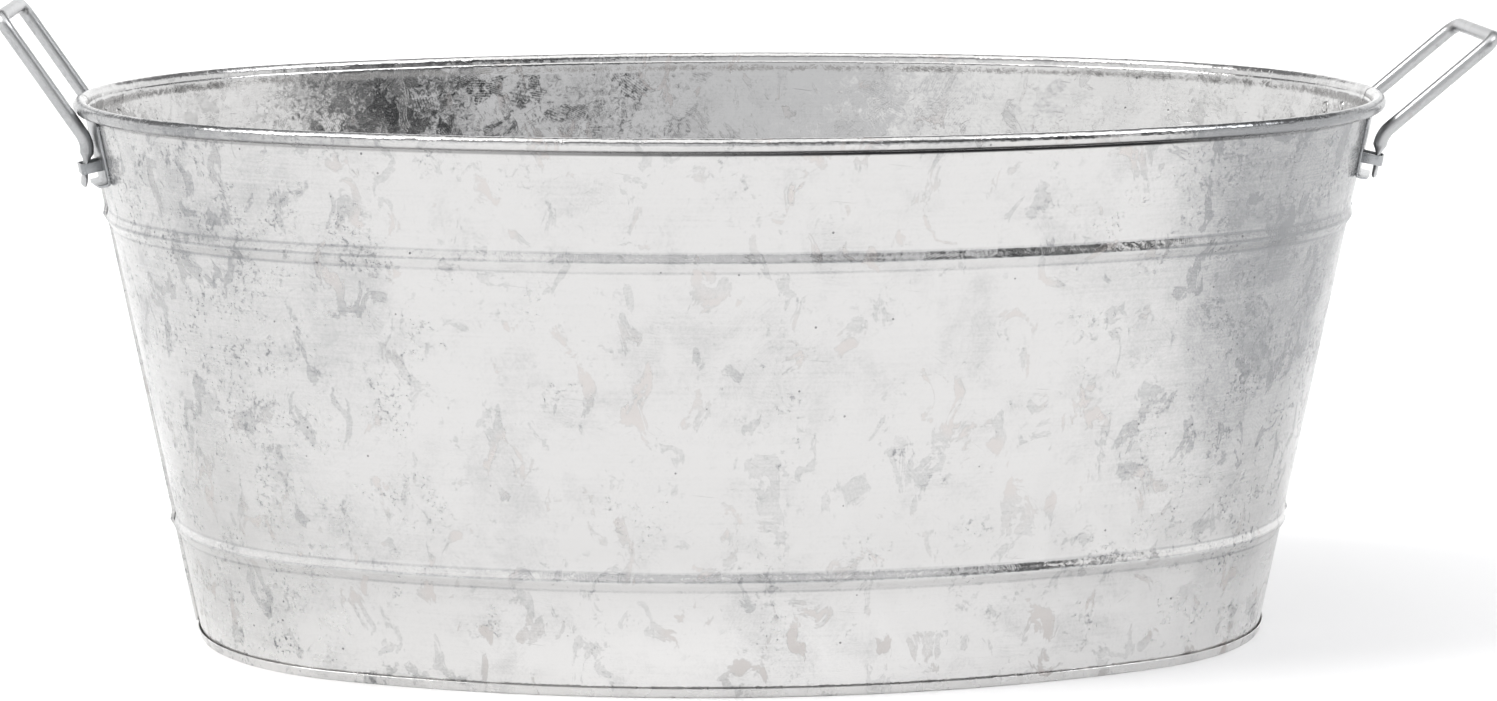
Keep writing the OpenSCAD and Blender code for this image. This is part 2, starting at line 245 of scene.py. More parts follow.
# %% Socket arithmetic
class Flow:
    """A shader socket that can be added, multiplied and compared."""

    def __init__(self, tree, socket):
        self.tree = tree
        self.socket = socket

    def node(self, kind, settings=None, out=0, **inputs):
        return make_node(self.tree, kind, settings, out, **inputs)

    def sum(self, operation, other=None, third=None, swap=False):
        pair = [other, self] if swap else [self, other]
        inputs = {str(i): v for i, v in enumerate(pair + [third]) if v is not None}
        return self.node("ShaderNodeMath", {"operation": operation}, **inputs)

    def __add__(self, other):
        return self.sum("ADD", other)

    __radd__ = __add__

    def __mul__(self, other):
        return self.sum("MULTIPLY", other)

    __rmul__ = __mul__

    def __sub__(self, other):
        return self.sum("SUBTRACT", other)

    def __rsub__(self, other):
        return self.sum("SUBTRACT", other, swap=True)

    def over(self, low, high):
        """Rises from 0 to 1 between two values, with soft ends."""
        settings = {"interpolation_type": "SMOOTHSTEP"}
        picked = {"Value": self, "From Min": low, "From Max": high}
        return self.node("ShaderNodeMapRange", settings, **picked)

    def under(self, low, high):
        """Falls from 1 to 0 between two values."""
        return 1 - self.over(low, high)

    def parts(self, kind="ShaderNodeSeparateXYZ"):
        """The three parts of a vector, or of a colour."""
        first = self.node(kind, None, 0, **{"0": self})
        return [Flow(self.tree, socket) for socket in first.socket.node.outputs[:3]]

    def vector(self, operation, other=None, third=None, out=0):
        inputs = {str(i): v for i, v in enumerate([self, other, third]) if v is not None}
        return self.node("ShaderNodeVectorMath", {"operation": operation}, out, **inputs)


def make_node(tree, kind, settings=None, out=0, **inputs):
    """One node: its settings first, then the values or links of its sockets."""
    node = tree.nodes.new(kind)
    for key, value in (settings or {}).items():
        setattr(node, key, value)
    for key, value in inputs.items():
        socket = node.inputs[int(key)] if key.isdigit() else node.inputs[key]
        if isinstance(value, Flow):
            tree.links.new(value.socket, socket)
        else:
            socket.default_value = value
    return Flow(tree, node.outputs[out])


def mix_colour(factor, below, above):
    """Colour below where the factor is 0, colour above where it is 1."""
    colours = {"6": below, "7": above}
    return factor.node("ShaderNodeMix", {"data_type": "RGBA"}, 2, **{"0": factor}, **colours)


# %% [markdown]
# ## Zinc finishes
# Hot-dip zinc freezes in flat crystals, the spangle. Each crystal lies at its own slight
# tilt and is combed by fine lines, so neighbours mirror different parts of the room: plain
# on a wall that mirrors white, and lively where it mirrors the dark. On top lie flame-shaped
# blotches with a faint warm cast, crusty grey specks, brushed lines, scratches and small
# dark pits. All of it is worked out from the object's own coordinates, so it stays put.
# The wall's colour also holds painted shade: darker ends, darkest at the right-hand end,
# thin dark lines along the ribs and a near-black line under the roll, and a painted
# lighter band near the foot. The ears' zinc is painted dark for the shade they sit in.


# %% Patterns on the sheet
def stretched(where, lengths, turn=(0, 0, 0)):
    """Coordinates turned, then measured in these lengths, so a pattern is drawn out."""
    settings = {"vector_type": "TEXTURE"}
    return where.node("ShaderNodeMapping", settings, Vector=where, Scale=lengths, Rotation=turn)


def cloud(where, scale, detail=3.0, roughness=0.55, distortion=0.0, out=0):
    return where.node(
        "ShaderNodeTexNoise", None, out, Vector=where, Scale=scale, Detail=detail,
        Roughness=roughness, Distortion=distortion,
    )


def cells(where, scale, out="Distance"):
    return where.node("ShaderNodeTexVoronoi", None, out, Vector=where, Scale=scale)


def wandering(where, scale, amount):
    """Coordinates pushed about by noise, so that straight cell edges turn ragged."""
    push = cloud(where, scale, 4.0, 0.65, 0.0, "Color").vector("SUBTRACT", (0.5,) * 3)
    return push.vector("MULTIPLY_ADD", (amount,) * 3, where)


def needles(where, lengths, turn, width, seed):
    """Short tapered scratches: drawn-out cells, of which only the middles are kept."""
    moved = where.vector("ADD", (seed, seed * 2.3, seed * 0.7))
    return cells(stretched(moved, lengths, turn), 1.0).under(width * 0.5, width)


def zinc_finish(name, light, shade, gloss, spangle=1.0, wear=1.0, ends=1.0, crease_shade_lines=()):
    """Galvanized steel. light and shade are colours, gloss is the mean roughness."""
    finish = bpy.data.materials.new(name)
    finish.use_nodes = True
    tree = finish.node_tree
    skin = next(n for n in tree.nodes if n.type == "BSDF_PRINCIPLED")
    place = make_node(tree, "ShaderNodeTexCoord", None, "Object")
    along, across, up = place.parts()
    facing = make_node(tree, "ShaderNodeNewGeometry", None, "Normal")
    outward = facing.vector("DOT_PRODUCT", place.vector("MULTIPLY", (1, 1, 0)), out="Value").over(0.0, 0.02)
    near_end = along.sum("ABSOLUTE").over(0.13, 0.23) * ends
    # Painted shade: the outer wall is painted darker toward both ends, and darker still at the right-hand end, fading
    # out toward the foot.
    painted_end_shade = (near_end * 0.24 + along.over(0.165, 0.22) * (0.42 * ends)) * (0.05 + up.over(0.02, 0.17) * 0.95)
    bead = up.over(0.2474, 0.2484)

    ragged = wandering(place, 90.0, 0.010)
    crystal = cells(ragged, 105.0, "Color")
    pick = crystal.vector("SUBTRACT", (0.5,) * 3)
    comb = (place.vector("DOT_PRODUCT", pick, out="Value") * 12000.0).sum("SINE")
    tone, gloss_pick, comb_pick = crystal.parts("ShaderNodeSeparateColor")

    patches = cloud(place, 22.0, 6.0, 0.66, 0.4).over(0.45, 0.66)
    flame = cloud(stretched(place, (0.014, 0.014, 0.022)), 1.0, 6.0, 0.62, 0.8)
    flames = flame.over(0.588, 0.606)
    edges = flame.over(0.574, 0.588) * flame.under(0.592, 0.610)
    flecks = cloud(place, 240.0, 4.0, 0.6, 0.5).over(0.60, 0.64) * cloud(place, 30.0, 3.0).over(0.42, 0.60)
    hue = cloud(place, 26.0, 1.0)
    speck = cloud(place, 420.0, 5.0, 0.72)
    crust = speck.over(0.53, 0.62) * cloud(place, 30.0, 5.0, 0.62).over(0.56, 0.68)
    crust = crust + speck.over(0.53, 0.61) * near_end * cloud(place, 60.0, 4.0).over(0.46, 0.58) * 0.8
    rolled = cloud(stretched(place, (0.05, 0.05, 0.0010)), 1.0, 4.0, 0.75)

    spot = cells(place, 150.0, "Color").parts("ShaderNodeSeparateColor")[0]
    pits = cells(place, 150.0).under(0.06, 0.10) * (spot + near_end * 0.2).over(0.93, 0.95)
    scratch = needles(place, (0.14, 0.03, 0.0030), (0, 0.12, 0.0), 0.06, 0.4)
    scratch = scratch + needles(place, (0.09, 0.02, 0.0025), (0, -0.55, 0.2), 0.055, 1.7)
    scratch = scratch + needles(place, (0.11, 0.02, 0.0025), (0, 0.62, 0.4), 0.05, 2.9)
    scratch = scratch + needles(place, (0.0025, 0.0025, 0.05), (0.05, 0.03, 0.0), 0.06, 5.1)

    # This sum turns the zinc toward its dull colour: real blotches, specks and crust, and with them painted shade at
    # the ends, along the ribs and on the roll.
    dullness_and_painted_shade = patches * 0.22 + flames * 0.24 + edges * 0.22 + flecks * 0.24 + crust * 0.50
    dullness_and_painted_shade = dullness_and_painted_shade * (0.35 + outward * 0.65) * wear + (tone - 0.5) * (0.08 * spangle) + (rolled - 0.5) * 0.42
    dullness_and_painted_shade = dullness_and_painted_shade + (cloud(place, 800.0, 3.0, 0.75) - 0.5) * 0.60 + painted_end_shade * outward
    # Painted shade: the roll's outer face is painted a little darker, more so toward the ends.
    dullness_and_painted_shade = dullness_and_painted_shade + bead * (outward * 0.10 + near_end * 0.22)
    dullness_and_painted_shade = dullness_and_painted_shade + comb * comb_pick * (0.04 * spangle)
    # Painted shade: thin dark lines along the ribs' edges and crests.
    for shade_line in crease_shade_lines:
        dullness_and_painted_shade = dullness_and_painted_shade + (up - shade_line * MM).sum("ABSOLUTE").under(0.0002, 0.0010) * 0.3
    # Painted light: a band near the foot of the outer wall is painted lighter.
    foot = up.under(0.0, 0.060) * outward
    painted_foot_light = mix_colour(foot, (*light, 1), tuple(part * 1.28 for part in light) + (1,))
    body = mix_colour(dullness_and_painted_shade.over(-0.06, 1.0), painted_foot_light, (*shade, 1))
    warm = tuple(part * dim for part, dim in zip(light, (0.94, 0.90, 0.885)))
    blush = flames * hue.over(0.47, 0.58) * painted_end_shade.under(0.04, 0.30) * (0.85 * wear)
    body = mix_colour(blush, body, (*warm, 1))
    marks = pits * 0.8 + scratch * (0.22 * wear)
    body = mix_colour(marks, body, (0.12, 0.12, 0.125, 1))
    if crease_shade_lines:
        # Painted shadow: a near-black line on the outside just under the rolled rim, strongest right of the middle.
        painted_shadow_under_roll = up.over(0.2455, 0.2464) * up.under(0.2483, 0.2492) * outward
        painted_shadow_under_roll = painted_shadow_under_roll * (0.35 + along.over(-0.19, 0.06) * along.under(0.17, 0.24) * 0.65)
        body = mix_colour(painted_shadow_under_roll, body, (0.015, 0.015, 0.016, 1))
    tree.links.new(body.socket, skin.inputs["Base Color"])

    rough = gloss + (gloss_pick - 0.5) * (0.08 * spangle) + flames * 0.04 + crust * 0.18
    rough = rough + (rolled - 0.5) * 0.10 + patches * 0.05 + near_end * 0.06
    tree.links.new(rough.socket, skin.inputs["Roughness"])
    skin.inputs["Metallic"].default_value = 1.0

    tilt = pick.vector("SCALE")
    tilt.socket.node.inputs["Scale"].default_value = 1.0
    lively = (comb * 0.35 + 0.65) * (0.13 * spangle)
    tree.links.new(lively.socket, tilt.socket.node.inputs["Scale"])
    grain = cloud(place, 380.0, 5.0, 0.70, 0.8, "Color").vector("SUBTRACT", (0.5,) * 3)
    tilted = grain.vector("MULTIPLY_ADD", (0.40 * spangle,) * 3, facing.vector("ADD", tilt))
    tilted = tilted.vector("NORMALIZE")
    height = rolled * 1.2e-5 + speck * crust * 2.5e-5 - pits * 6.0e-5 - scratch * 2.0e-5 - edges * 2.4e-5
    bump = height.node("ShaderNodeBump", None, Strength=1.0, Distance=1.0, Height=height, Normal=tilted)
    tree.links.new(bump.socket, skin.inputs["Normal"])
    return finish


# Heights of the thin dark lines painted along the ribs as shade.
rib_shade_lines = [m + off for m in rib_middles for off in (-4.3, 0.4, 4.3)]
wall_zinc = zinc_finish("wall_zinc", (0.57, 0.566, 0.562), (0.255, 0.26, 0.267), 0.17, crease_shade_lines=rib_shade_lines)
pan_zinc = zinc_finish("pan_zinc", (0.55, 0.545, 0.54), (0.265, 0.27, 0.275), 0.26, 0.8)
rod_zinc = zinc_finish("rod_zinc", (0.44, 0.445, 0.45), (0.24, 0.245, 0.25), 0.36, 0.30, 0.8, 0.0)
# The ears' zinc is painted dark, standing in for the shade they hang in.
shaded_ear_zinc = zinc_finish("shaded_ear_zinc", (0.35, 0.36, 0.37), (0.165, 0.17, 0.175), 0.26, 0.40, 1.0, 0.0)
print("finishes:", ", ".join(m.name for m in bpy.data.materials if m.name.endswith("zinc")))

# %% [markdown]
# ## Lock seam
# Where the halves meet, one sheet steps out over the other and each folds back round the
# other's edge. A folded sheet is easy as an open strip: draw the fold line in plan, extrude
# it up the wall height by height, round its folds with a bevel, and only then give it its
# thickness. The lines below run so that the metal always lies on their right-hand side.


# %% Folded strip
hook_sheet = 0.5
seam_low = skirt_height + sheet + 0.02
seam_high = roll_z - roll_radius - 0.02
outer_hook = [(-6.5, -0.1), (-4.25, -0.1), (-4.25, 2.1), (4.25, 2.1), (4.25, 0.15), (-2.9, 0.15)]
inner_hook = [(-3.0, 1.35), (3.55, 1.35), (3.55, -0.59), (-3.0, -0.59)]


def folded_strip(path, side, low, high):
    """Strip up one end of the wall. The path is (y, distance off the wall) in plan."""
    bm = bmesh.new()
    heights = wall_heights(low, high)
    lean = math.cos(wall_lean)
    start_u = wall_point(0, heights[0])[0]
    reach = end_radius + start_u
    verts = [
        bm.verts.new((side * (end_x + math.sqrt(reach**2 - y**2) + n / lean) * MM, y * MM, low * MM))
        for y, n in path
    ]
    edges = [bm.edges.new(pair) for pair in zip(verts, verts[1:])]
    for before, after in zip(heights, heights[1:]):
        made = bmesh.ops.extrude_edge_only(bm, edges=edges)["geom"]
        verts = [item for item in made if isinstance(item, bmesh.types.BMVert)]
        fresh = set(verts)
        edges = [e for e in made if isinstance(e, bmesh.types.BMEdge) and set(e.verts) <= fresh]
        out = wall_point(0, after)[0] - wall_point(0, before)[0]
        bmesh.ops.translate(bm, verts=verts, vec=(side * out * MM, 0, (after - before) * MM))
    folds = [e for e in bm.edges if e.is_manifold and e.calc_face_angle() > 1.0]
    bmesh.ops.bevel(
        bm, geom=folds, offset=0.42 * MM, offset_type="OFFSET", segments=3, profile=0.5,
        affect="EDGES", material=-1,
    )
    bmesh.ops.recalc_face_normals(bm, faces=bm.faces)
    middle = end_x + end_radius + wall_u(seam_low)
    outermost = max(bm.faces, key=lambda f: abs(f.calc_center_median().x))
    if outermost.normal.x * side < 0:
        bmesh.ops.reverse_faces(bm, faces=bm.faces)
    bmesh.ops.solidify(bm, geom=bm.faces[:], thickness=hook_sheet * MM)
    return bm


def join(bm, part):
    """Adds another bmesh to this one."""
    mesh = bpy.data.meshes.new("joining")
    part.to_mesh(mesh)
    part.free()
    bm.from_mesh(mesh)
    bpy.data.meshes.remove(mesh)


# %% [markdown]
# ## Spot welds
# Each ear is held by spot welds, which show inside the tub as small rings pressed into the
# sheet. Such a mark is a turned shape, so its half outline is spun all the way round, with
# use_merge to close it, and then laid on the inner face of the wall.


# %% Weld mark
leg_y = 41
pivot_z = 225
pivot_off = 7.5
pivot_r = end_radius + wall_u(pivot_z) + pivot_off
leg_turn = math.asin(leg_y / pivot_r)
weld_outline = [(0, -0.25), (3.2, -0.25), (2.9, 0.02), (2.5, 0.26), (2.1, 0.06), (1.5, 0.03), (0, 0.05)]


def weld_mark(bm, side, turn, n, z, facing, size=1.0):
    """A weld's ring on the wall, turned this far round an end, facing out (1) or in (-1)."""
    verts = [bm.verts.new((r * size * MM, 0, h * MM)) for r, h in weld_outline]
    edges = [bm.edges.new(pair) for pair in zip(verts, verts[1:])]
    known = set(bm.verts)
    bmesh.ops.spin(
        bm, geom=edges, cent=(0, 0, 0), axis=(0, 0, 1), dvec=(0, 0, 0), angle=math.tau,
        steps=24, use_merge=True, use_duplicate=False,
    )
    ring = [v for v in bm.verts if v not in known] + verts
    bmesh.ops.remove_doubles(bm, verts=ring, dist=0.005 * MM)
    ring = [v for v in ring if v.is_valid]
    lay = Matrix.Rotation(facing * math.pi / 2, 4, "Y")
    u, height = off_wall(n, z)
    slope = Matrix.Rotation(wall_lean, 4, "Y")
    place = (
        Matrix.Translation((side * end_x * MM, 0, 0))
        @ Matrix.Rotation(turn + (0 if side > 0 else math.pi), 4, "Z")
        @ Matrix.Translation(((end_radius + u) * MM, 0, height * MM))
        @ slope @ lay
    )
    bmesh.ops.transform(bm, matrix=place, verts=ring)


# %% [markdown]
# ## Half walls
# The two halves are one pressing, and the rear one is the front one turned half way round.
# Thin sheet is never true: it bulges and dips by some tenths of a millimetre, and that is
# what bends the mirrored lines on a real tub. So the wall's points are pushed in and out by
# slow noise, fading to nothing at the folds, the seams and the ears, which hold it true.


# %% Front and rear wall
def fade(value, low, high):
    part = min(1.0, max(0.0, (value - low) / (high - low)))
    return part * part * (3 - 2 * part)


def hollow_and_swell(bm, seed, depth):
    """Pushes the wall's points in and out by slow noise."""
    for vert in bm.verts:
        x, y, z = vert.co / MM
        held = fade(z, 6, 46) * (1 - fade(z, 213, 243)) * fade(abs(y), 8, 40)
        held *= 1 - fade(abs(x), 235, 260) * fade(z, 185, 212)
        if held <= 0:
            continue
        slow = noise.noise(vert.co * 7.0 + Vector((seed, 0, 0)))
        quick = noise.noise(vert.co * 21.0 + Vector((0, seed, 0)))
        flat = Vector((x * (tub_width / tub_length) ** 2, y, 0)).normalized()
        vert.co += flat * (slow * 0.9 + quick * 0.25) * depth * held * MM


def rim_stub(bm):
    """The last bit of rolled rim, over the seam, up to the gap between the two rims."""
    first, last = end_turn(-3.86), end_turn(-0.6)
    edges = section_loop(bm, wall_section(seam_high - 0.6), first, 1)
    edges = spin(bm, edges, (end_x, 0), last - first, 2)
    bmesh.ops.contextual_create(bm, geom=edges)


def half_wall(name, turn, seed, node):
    bm = bmesh.new()
    sweep_half(bm, wall_section(sheet + fold_gap), left_y=0.6, right_y=3.9)
    rim_stub(bm)
    outward_normals(bm)
    hollow_and_swell(bm, seed, 0.5)
    join(bm, folded_strip(outer_hook, 1, seam_low, seam_high))
    join(bm, folded_strip(inner_hook, -1, seam_low, seam_high))
    for side in (-1, 1):
        for off, size in ((-9.5, 1.0), (8.5, 0.85)):
            weld_turn = side * (-leg_turn + off / pivot_r)
            weld_mark(bm, side, weld_turn, -sheet, 241.0 + off * 0.12, -1, size)
    bmesh.ops.rotate(bm, verts=bm.verts, cent=(0, 0, 0), matrix=Matrix.Rotation(turn, 3, "Z"))
    return finish_piece(bm, name, "tub", wall_zinc, node)


half_wall("front_wall", 0, 3.1, "front_shell")
half_wall("rear_wall", math.pi, 8.7, "rear_shell")

# %% [markdown]
# ## Base pan
# The wall's foot stands in a narrow channel: an upright leaf inside, the fold the tub stands
# on, and a low skirt outside. The skirt's edge springs open a little, which leaves the thin
# dark line that runs round the foot of the wall. The floor is set up a few millimetres, so
# only the fold touches the ground.


# %% Base pan
def beside_wall(n, z):
    """Point at height z, at distance n from the wall's outer face."""
    return wall_u(z) + n / math.cos(wall_lean), z


leaf_out = -sheet - fold_gap
leaf_in = leaf_out - sheet
pan_top = base_recess + sheet


def channel_section(soft=0.4, spring=0.55):
    skirt_in = fold_gap
    skirt_out = fold_gap + sheet
    edge = skirt_height - 0.2
    return [
        beside_wall(leaf_in, pan_top), beside_wall(leaf_in, base_recess), beside_wall(leaf_in, soft), beside_wall(leaf_in + soft, 0),
        beside_wall(skirt_out - soft, 0), beside_wall(skirt_out - 0.12, 0.12), beside_wall(skirt_out, soft),
        beside_wall(skirt_out + 0.05, 2.0), beside_wall(skirt_out + spring * 0.5, 3.3),
        beside_wall(skirt_out + spring, edge), beside_wall(skirt_out + spring - 0.12, edge + 0.15),
        beside_wall(skirt_in + spring + 0.25, skirt_height), beside_wall(skirt_in + spring + 0.1, edge + 0.1),
        beside_wall(skirt_in + spring * 0.5, 3.3), beside_wall(skirt_in + 0.05, 2.0),
        beside_wall(skirt_in, sheet), beside_wall(leaf_out, sheet), beside_wall(leaf_out, pan_top),
    ]


def faces_in(face):
    """Does the face look towards the middle of the tub?"""
    middle = face.calc_center_median()
    return face.normal.x * middle.x + face.normal.y * middle.y < 0


def pan():
    bm = bmesh.new()
    sweep_half(bm, channel_section())
    ends = [f for f in bm.faces if len(f.verts) > 4]
    bmesh.ops.delete(bm, geom=ends, context="FACES_ONLY")
    other = bmesh.ops.duplicate(bm, geom=bm.verts[:] + bm.edges[:] + bm.faces[:])["geom"]
    turned = [item for item in other if isinstance(item, bmesh.types.BMVert)]
    bmesh.ops.rotate(bm, verts=turned, cent=(0, 0, 0), matrix=Matrix.Rotation(math.pi, 3, "Z"))
    bmesh.ops.remove_doubles(bm, verts=bm.verts, dist=0.01 * MM)
    bmesh.ops.recalc_face_normals(bm, faces=bm.faces)
    inside = [f for f in bm.faces if min(v.co.z for v in f.verts) > base_recess * MM - 1e-7]
    leaf = [f for f in inside if abs(f.normal.z) < 0.5 and faces_in(f)]
    bmesh.ops.delete(bm, geom=leaf, context="FACES")
    rims = [e for e in bm.edges if e.is_boundary]
    for height in (base_recess, pan_top):
        ring = [e for e in rims if abs(e.verts[0].co.z - height * MM) < 1e-7]
        floor = bmesh.ops.contextual_create(bm, geom=ring)["faces"]
        for wide in (2.0, 10, 30):
            bmesh.ops.inset_region(bm, faces=floor, thickness=wide * MM, use_even_offset=True)
    outward_normals(bm)
    print("pan: edges round the floor", len(ring), "open edges", sum(not e.is_manifold for e in bm.edges))
    return finish_piece(bm, "pan", "tub", pan_zinc, "base_pan")


pan()

# %% [markdown]
# ## Ears
# An ear is one pressed plate: it lies on the wall under the rim, its foot is bent outward
# into a ledge, and a narrow strap is pushed out of a window to hold the handle's foot. The
# plate is a short spin of its section. The window is made by deleting the faces it takes
# away on both skins and bridging the two holes. The strap is drawn in plan and extruded up.

# %% Ear sizes
ear_width = 30
ear_sheet = 1
ear_corner_radius = 3
bridge_height = 4.6
foot_width = 9
foot_thick = 2.6
foot_clear = 0.8
foot_above = 11.5
foot_below = 8.5
leg_bend = math.radians(40.4)
rod_radius = 3.15
stop_clear = 0.3
strap_clear = 0.08
strap_sheet = 0.75
out_lean = math.radians(1.5)

pivot_x = end_x + pivot_r * math.cos(leg_turn)
rim_dx = end_x + math.sqrt((end_radius + roll_u) ** 2 - leg_y**2) - pivot_x
rim_dz = roll_z - pivot_z
rim_reach = (roll_radius + rod_radius + stop_clear) / math.cos(leg_turn)
lean_in = math.atan2(rim_dx, rim_dz)
lean_in += math.asin((foot_above * math.sin(leg_bend) + rim_reach) / math.hypot(rim_dx, rim_dz))
lean_out = wall_lean - out_lean + leg_bend
pivot_out = pivot_off * math.cos(wall_lean)
pivot_wall_z = pivot_z + pivot_out * math.sin(wall_lean)
in_lean = wall_lean + leg_bend - lean_in
bridge_in = pivot_out + bridge_height / 2 * math.tan(in_lean) + foot_thick / 2 / math.cos(in_lean)
bridge_in += strap_clear
ledge_low = pivot_wall_z - foot_below
ledge_out = pivot_out - foot_below * math.tan(out_lean) - foot_thick / 2 - stop_clear
print(f"pivot at x = {pivot_x:.2f} mm, legs lean {math.degrees(lean_in):.1f} to {math.degrees(lean_out):.1f}")
print(f"bridge at {bridge_in:.2f} mm, ledge to {ledge_out:.2f} mm off the wall")


# %% Ears
def along_wall(width):
    return width / (end_radius + wall_u(pivot_z))


def ear_plate(bm):
    """Plate and ledge, spun about the end's centre, which is the origin here."""
    near, far = fold_gap, fold_gap + ear_sheet
    low, high = pivot_wall_z - bridge_height / 2, pivot_wall_z + bridge_height / 2
    bottom, top = ledge_low, seam_high
    section = [
        (near, top), (far, top), (far, high + 6), (far, high), (far, low), (far, bottom + ear_sheet + 1.2),
        (far + 0.35, bottom + ear_sheet + 0.35), (far + 1.2, bottom + ear_sheet), (ledge_out, bottom + ear_sheet),
        (ledge_out, bottom), (far + 0.6, bottom), (near + 0.6, bottom + 0.25), (near, bottom + 1.0),
        (near, low), (near, high), (near, high + 6),
    ]
    pocket, half = along_wall(foot_width / 2 + foot_clear), along_wall(ear_width / 2)
    turn = Matrix.Rotation(-half, 4, "Z")
    verts = []
    for n, z in section:
        u, height = off_wall(n, z)
        verts.append(bm.verts.new(turn @ Vector(((end_radius + u) * MM, 0, height * MM))))
    edges = [bm.edges.new((verts[i - 1], verts[i])) for i in range(len(verts))]
    bmesh.ops.contextual_create(bm, geom=edges)
    for angle, steps in ((half - pocket, 2), (2 * pocket, 2), (half - pocket, 2)):
        edges = spin(bm, edges, (0, 0), angle, steps)
    bmesh.ops.contextual_create(bm, geom=edges)
    window = []
    for face in bm.faces:
        middle = face.calc_center_median()
        off = middle.x / MM - end_radius - wall_u(middle.z / MM)
        height = middle.z / MM + off * math.tan(wall_lean)
        inside = abs(math.atan2(middle.y, middle.x)) < pocket and low < height < high
        if inside and len(face.verts) == 4:
            window.append(face)
    bmesh.ops.delete(bm, geom=window, context="FACES")
    rims = [e for e in bm.edges if e.is_boundary]
    bmesh.ops.bridge_loops(bm, edges=rims)
    outward_normals(bm)
    tips = [
        e for e in bm.edges
        if all(v.co.x > 0 and abs(abs(math.atan2(v.co.y, v.co.x)) - half) < 1e-5 for v in e.verts)
        and all(math.hypot(v.co.x, v.co.y) / MM > end_radius + off_wall(ledge_out, ledge_low)[0] - 0.4 for v in e.verts)
    ]
    bmesh.ops.bevel(
        bm, geom=tips, offset=ear_corner_radius * MM, offset_type="OFFSET", segments=6, profile=0.5,
        affect="EDGES", material=-1,
    )


def ear_strap(bm):
    """The strap that holds the foot: a U in plan, extruded up the wall."""
    side = foot_width / 2 + foot_clear
    low, high = pivot_wall_z - bridge_height / 2, pivot_wall_z + bridge_height / 2
    deep, outer = fold_gap + 0.5, bridge_in + strap_sheet
    plan = [
        (-side - ear_sheet, deep), (-side - ear_sheet, outer), (side + ear_sheet, outer), (side + ear_sheet, deep),
        (side, deep), (side, bridge_in), (-side, bridge_in), (-side, deep),
    ]
    verts = []
    for t, n in plan:
        u, height = off_wall(n, low)
        turn = Matrix.Rotation(along_wall(t), 4, "Z")
        verts.append(bm.verts.new(turn @ Vector(((end_radius + u) * MM, 0, height * MM))))
    face = bm.faces.new(verts)
    made = bmesh.ops.extrude_face_region(bm, geom=[face])["geom"]
    rise = Vector(((high - low) * math.tan(wall_lean) * MM, 0, (high - low) * MM))
    lifted = [item for item in made if isinstance(item, bmesh.types.BMVert)]
    bmesh.ops.translate(bm, verts=lifted, vec=rise)
    bmesh.ops.recalc_face_normals(bm, faces=bm.faces)
    for reach, offset in ((outer, 2.3), (bridge_in, 1.4)):
        folds = []
        for edge in bm.edges:
            up = abs(edge.verts[0].co.z - edge.verts[1].co.z) > 3 * MM
            off = math.hypot(edge.verts[0].co.x, edge.verts[0].co.y) / MM - end_radius
            z = edge.verts[0].co.z / MM
            if up and abs((off - wall_u(z)) * math.cos(wall_lean) - reach) < 0.3:
                folds.append(edge)
        bmesh.ops.bevel(
            bm, geom=folds, offset=offset * MM, offset_type="OFFSET", segments=6, profile=0.5,
            affect="EDGES", material=-1,
        )


def ear(name, side, end):
    bm = bmesh.new()
    ear_plate(bm)
    strap = bmesh.new()
    ear_strap(strap)
    join(bm, strap)
    sharp = [e for e in bm.edges if e.is_manifold and e.calc_face_angle() > 1.1 and e.calc_length() > 0.8 * MM]
    bmesh.ops.bevel(
        bm, geom=sharp, offset=0.14 * MM, offset_type="OFFSET", segments=2, profile=0.5,
        affect="EDGES", material=-1, clamp_overlap=True,
    )
    bmesh.ops.dissolve_degenerate(bm, edges=bm.edges, dist=0.002 * MM)
    turn = side * end * leg_turn + (0 if side > 0 else math.pi)
    place = Matrix.Translation((side * end_x * MM, 0, 0)) @ Matrix.Rotation(turn, 4, "Z")
    bmesh.ops.transform(bm, matrix=place, verts=bm.verts)
    bmesh.ops.recalc_face_normals(bm, faces=bm.faces)
    return finish_piece(bm, name + "_pressed", "tub", shaded_ear_zinc, name)


ear("left_front_ear", -1, -1)
ear("left_rear_ear", -1, 1)
ear("right_front_ear", 1, -1)
ear("right_rear_ear", 1, 1)

# %% [markdown]
# ## Rod handles
# Each handle is one length of galvanized rod. A spin makes each bend and an extrusion each
# straight length, from one ring of points, in the order that the rod is bent on a bench. The
# feet are flattened under a hammer, so their rings are scaled flat and turned to lie along
# the wall. The left handle leans on the rim and the right one hangs outward, as photographed.

# %% Handle sizes
leg_length = 68.4
leg_bend_radius = 13
grip_corner_radius = 7.5
tail_width = foot_width + 3
neck_high = foot_above - leg_bend_radius * math.tan(leg_bend / 2)
neck_low = bridge_height / 2 + foot_clear


# %% Bending a rod
def grow(bm, edges, step):
    """Draws the open end of a tube out by one step, and returns its new end."""
    made = bmesh.ops.extrude_edge_only(bm, edges=edges)["geom"]
    verts = [item for item in made if isinstance(item, bmesh.types.BMVert)]
    bmesh.ops.translate(bm, verts=verts, vec=step * MM)
    fresh = set(verts)
    return [e for e in made if isinstance(e, bmesh.types.BMEdge) and set(e.verts) <= fresh]


def bend(bm, edges, centre, axis, angle, steps):
    """Bends the open end of a tube round an axis, and returns its new end."""
    made = bmesh.ops.spin(
        bm, geom=edges, cent=centre * MM, axis=axis, dvec=(0, 0, 0), angle=angle, steps=steps,
        use_merge=False, use_duplicate=False,
    )["geom_last"]
    return [item for item in made if isinstance(item, bmesh.types.BMEdge)]


def end_verts(edges):
    return list({v for e in edges for v in e.verts})


